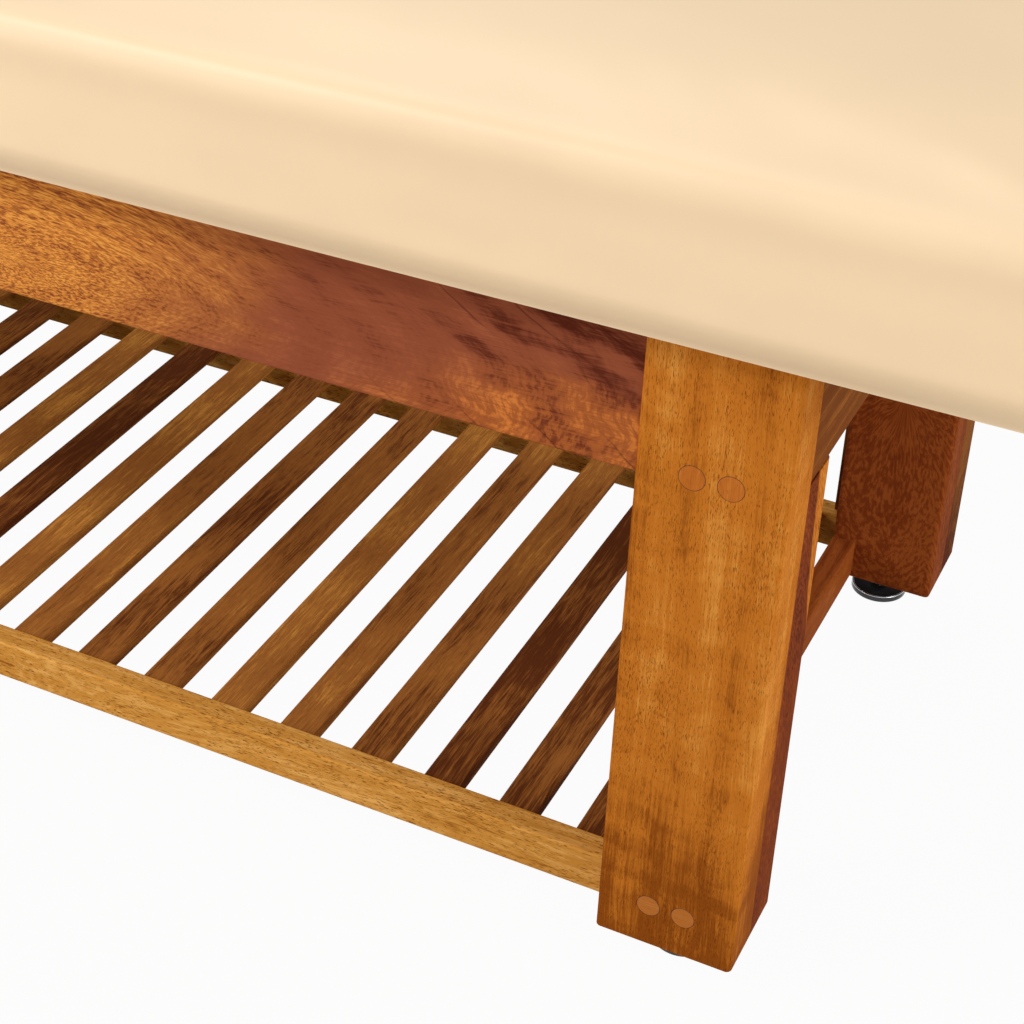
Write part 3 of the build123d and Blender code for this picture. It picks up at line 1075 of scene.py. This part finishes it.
class TABLE_OT_feet(Operator):
    """Levelling feet: steel dishes with black rings and threaded stems"""

    bl_idname = "table.feet"
    bl_label = "Levelling feet"

    def execute(self, context):
        feet = settings("feet")
        stem_steel = thread_material(feet.thread_pitch)
        dishes = self.at_corners(self.dish(feet), "dish_", "glide_base_")
        rings = self.at_corners(self.ring(feet), "ring_", "glide_ring_")
        for corner, dish, ring in zip(CORNERS, dishes, rings):
            join_table(dish, "foot_" + corner, "glide_base_" + corner)
            join_table(ring, "foot_" + corner, "glide_ring_" + corner)
            dress("glide_stem_" + corner, stem_steel)
        return {"FINISHED"}

    def at_corners(self, piece, name, node):
        """A piece that is modelled at the first corner, and its copies at the others."""
        home = self.middle(node + CORNERS[0])
        pieces = [piece]
        for corner in CORNERS[1:]:
            copy = copied(piece, name + corner)
            copy.location = self.middle(node + corner) - home
            settle(copy)
            pieces.append(copy)
        return pieces

    def middle(self, node):
        """The middle of a CAD node."""
        low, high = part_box(node)
        return (Vector(low) + Vector(high)) / 2

    def cup(self, name, node, wall, floor):
        """A round bar in the box of a CAD node, hollowed from above down to a floor."""
        low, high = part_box(node)
        tall = high[2] - low[2]
        radius = (high[0] - low[0]) / 2
        place = self.middle(node)
        deselect()
        bpy.ops.mesh.primitive_cylinder_add(vertices=64, radius=radius, depth=tall, location=place)
        piece = added(name)
        settle(piece)
        select_faces(piece, lambda face: face.normal.z > 0.9 and face.center.z > high[2] - NEAR)
        bpy.ops.mesh.inset(thickness=wall)
        bpy.ops.mesh.extrude_region_move(TRANSFORM_OT_translate={"value": (0, 0, floor - tall)})
        mode("OBJECT")
        return piece

    def finish(self, piece, edge, material):
        """Rounds a piece's edges, shades it smooth and gives it its material."""
        bevel = piece.modifiers.new("Edges", "BEVEL")
        bevel.width = edge
        bevel.segments = 3
        bevel.limit_method = "ANGLE"
        apply_modifiers(piece)
        bpy.ops.object.shade_smooth_by_angle(angle=radians(40))
        cover_with(piece, material)

    def dish(self, feet):
        """The first foot's steel dish, which stands on the floor."""
        piece = self.cup("dish_" + CORNERS[0], "glide_base_" + CORNERS[0], feet.wall, feet.wall)
        self.finish(piece, feet.edge, dish_material(feet))
        return piece

    def ring(self, feet):
        """The first foot's black ring, which lies in the dish round the stem."""
        node = "glide_ring_" + CORNERS[0]
        low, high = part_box(node)
        wall = (high[0] - low[0]) / 2 - feet.ring_hole
        piece = self.cup("ring_" + CORNERS[0], node, wall, feet.ring_floor)
        self.finish(piece, feet.ring_edge, plastic_material())
        return piece


# Floor, light and camera

# Place and aim of each lamp, its share of the key light's power and its width
LAMPS = {
    "Key": ((-1.9, -2.7, 3.6), (0, 0, 0.6), 1.0, 1.4),
    "Low": ((-2.3, -3.1, 1.45), (0, 0, 0.35), 0.41, 1.2),
    "Fill": ((3.1, -0.7, 1.2), (0, 0, 0.4), 0.46, 1.8),
    "Rim": ((-1.2, 2.4, 4.2), (0, 0, 0.6), 0.48, 2.2),
}
WHITE = (1, 1, 1, 1)
# The floor that light falls on, and how much of its look is plain white
FLOOR_COLOUR = (0.46, 0.43, 0.385, 1)
FLOOR_WHITE = 0.96
# Width of the camera's sensor in millimetres
SENSOR_WIDTH = 36


def seen_by(tree, *rays):
    """One for rays of these kinds, and nought for all others."""
    path = tree.nodes.new("ShaderNodeLightPath")
    seen = 0.0
    for ray in rays:
        seen = maths(tree, "MAXIMUM", seen, path.outputs[f"Is {ray} Ray"])
    return seen


def seen_white(tree, shader, share):
    """Lets the camera and mirrors see plain white in part, while light falls on the real surface."""
    seen = seen_by(tree, "Camera", "Glossy", "Transmission")
    glow = tree.nodes.new("ShaderNodeEmission")
    feed(tree, glow, {"Color": WHITE})
    mix = tree.nodes.new("ShaderNodeMixShader")
    joined(tree, product(tree, seen, share), mix.inputs[0])
    tree.links.new(shader, mix.inputs[1])
    tree.links.new(glow.outputs[0], mix.inputs[2])
    return mix.outputs[0]


class TABLE_OT_stage(Operator):
    """Pale floor, soft studio light and the camera"""

    bl_idname = "table.stage"
    bl_label = "Stage"

    def execute(self, context):
        stage = settings("stage")
        self.floor(stage)
        self.sky(stage)
        self.lamps(stage)
        self.camera(stage)
        return {"FINISHED"}

    def floor(self, stage):
        """A wide pale floor, nearly white in the picture."""
        deselect()
        bpy.ops.mesh.primitive_plane_add(size=stage.floor_size, location=(0, 0, -stage.floor_drop))
        floor = added("Floor")
        settle(floor)
        material, tree, shader = new_material("Floor")
        feed(tree, shader, {"Base Color": FLOOR_COLOUR, "Roughness": 0.9})
        surface = tree.nodes["Material Output"].inputs["Surface"]
        tree.links.new(seen_white(tree, shader.outputs[0], FLOOR_WHITE), surface)
        cover_with(floor, material)

    def sky(self, stage):
        """Even light from all round, which the camera sees as plain white."""
        world = bpy.data.worlds.new("Sky")
        bpy.context.scene.world = world
        world.use_nodes = True
        tree = world.node_tree
        background = tree.nodes["Background"]
        seen = seen_by(tree, "Camera", "Transmission")
        strength = scaled(tree, seen, 1 - stage.sky, stage.sky)
        feed(tree, background, {"Color": WHITE, "Strength": strength})

    def lamps(self, stage):
        """Large soft lamps round the table."""
        for name, (place, aim, share, size) in LAMPS.items():
            deselect()
            bpy.ops.object.light_add(type="AREA", location=place)
            lamp = bpy.context.object
            lamp.name = name
            lamp.data.energy = stage.key * share
            lamp.data.shape = "DISK"
            lamp.data.size = size
            direction = Vector(aim) - Vector(place)
            lamp.rotation_euler = direction.to_track_quat("-Z", "Y").to_euler()

    def camera(self, stage):
        """The camera that took the photograph."""
        deselect()
        bpy.ops.object.camera_add()
        camera = bpy.context.object
        camera.data.sensor_width = SENSOR_WIDTH
        camera.data.lens = stage.lens
        camera.data.shift_x, camera.data.shift_y = stage.shift
        azimuth = Matrix.Rotation(-stage.azimuth, 4, "Z")
        fall = Matrix.Rotation(pi / 2 - stage.fall, 4, "X")
        roll = Matrix.Rotation(stage.roll, 4, "Z")
        camera.matrix_world = Matrix.Translation(stage.place) @ (azimuth @ fall) @ roll
        scene = bpy.context.scene
        scene.camera = camera
        scene.view_settings.view_transform = "Standard"


# Panel and registration


class TABLE_PT_panel(Panel):
    """Lists the steps that dress the table"""

    bl_label = "Spa table"
    bl_idname = "TABLE_PT_panel"
    bl_space_type = "VIEW_3D"
    bl_region_type = "UI"
    bl_category = "Table"

    def draw(self, context):
        """A box for each group of values, and a button for each step."""
        layout = self.layout
        for name, group_class in GROUPS.items():
            box = layout.box()
            box.label(text=name.title())
            for title in group_class.__annotations__:
                box.prop(settings(name), title)
        for step in STEPS:
            layout.operator(step.bl_idname)


GROUPS = {
    "pad": TABLE_PG_pad, "wood": TABLE_PG_wood, "plugs": TABLE_PG_plugs, "feet": TABLE_PG_feet,
    "stage": TABLE_PG_stage,
}
STEPS = (TABLE_OT_boards, TABLE_OT_plugs, TABLE_OT_pad, TABLE_OT_feet, TABLE_OT_stage)


def register():
    for name, group_class in GROUPS.items():
        bpy.utils.register_class(group_class)
        setattr(bpy.types.Scene, "table_" + name, PointerProperty(type=group_class))
    for step in STEPS:
        bpy.utils.register_class(step)
    bpy.utils.register_class(TABLE_PT_panel)


def unregister():
    bpy.utils.unregister_class(TABLE_PT_panel)
    for step in reversed(STEPS):
        bpy.utils.unregister_class(step)
    for name, group_class in GROUPS.items():
        delattr(bpy.types.Scene, "table_" + name)
        bpy.utils.unregister_class(group_class)


def main():
    """Runs every step."""
    register()
    bpy.ops.table.boards()
    bpy.ops.table.plugs()
    bpy.ops.table.pad()
    bpy.ops.table.feet()
    bpy.ops.table.stage()


if __name__ == "__main__":
    main()
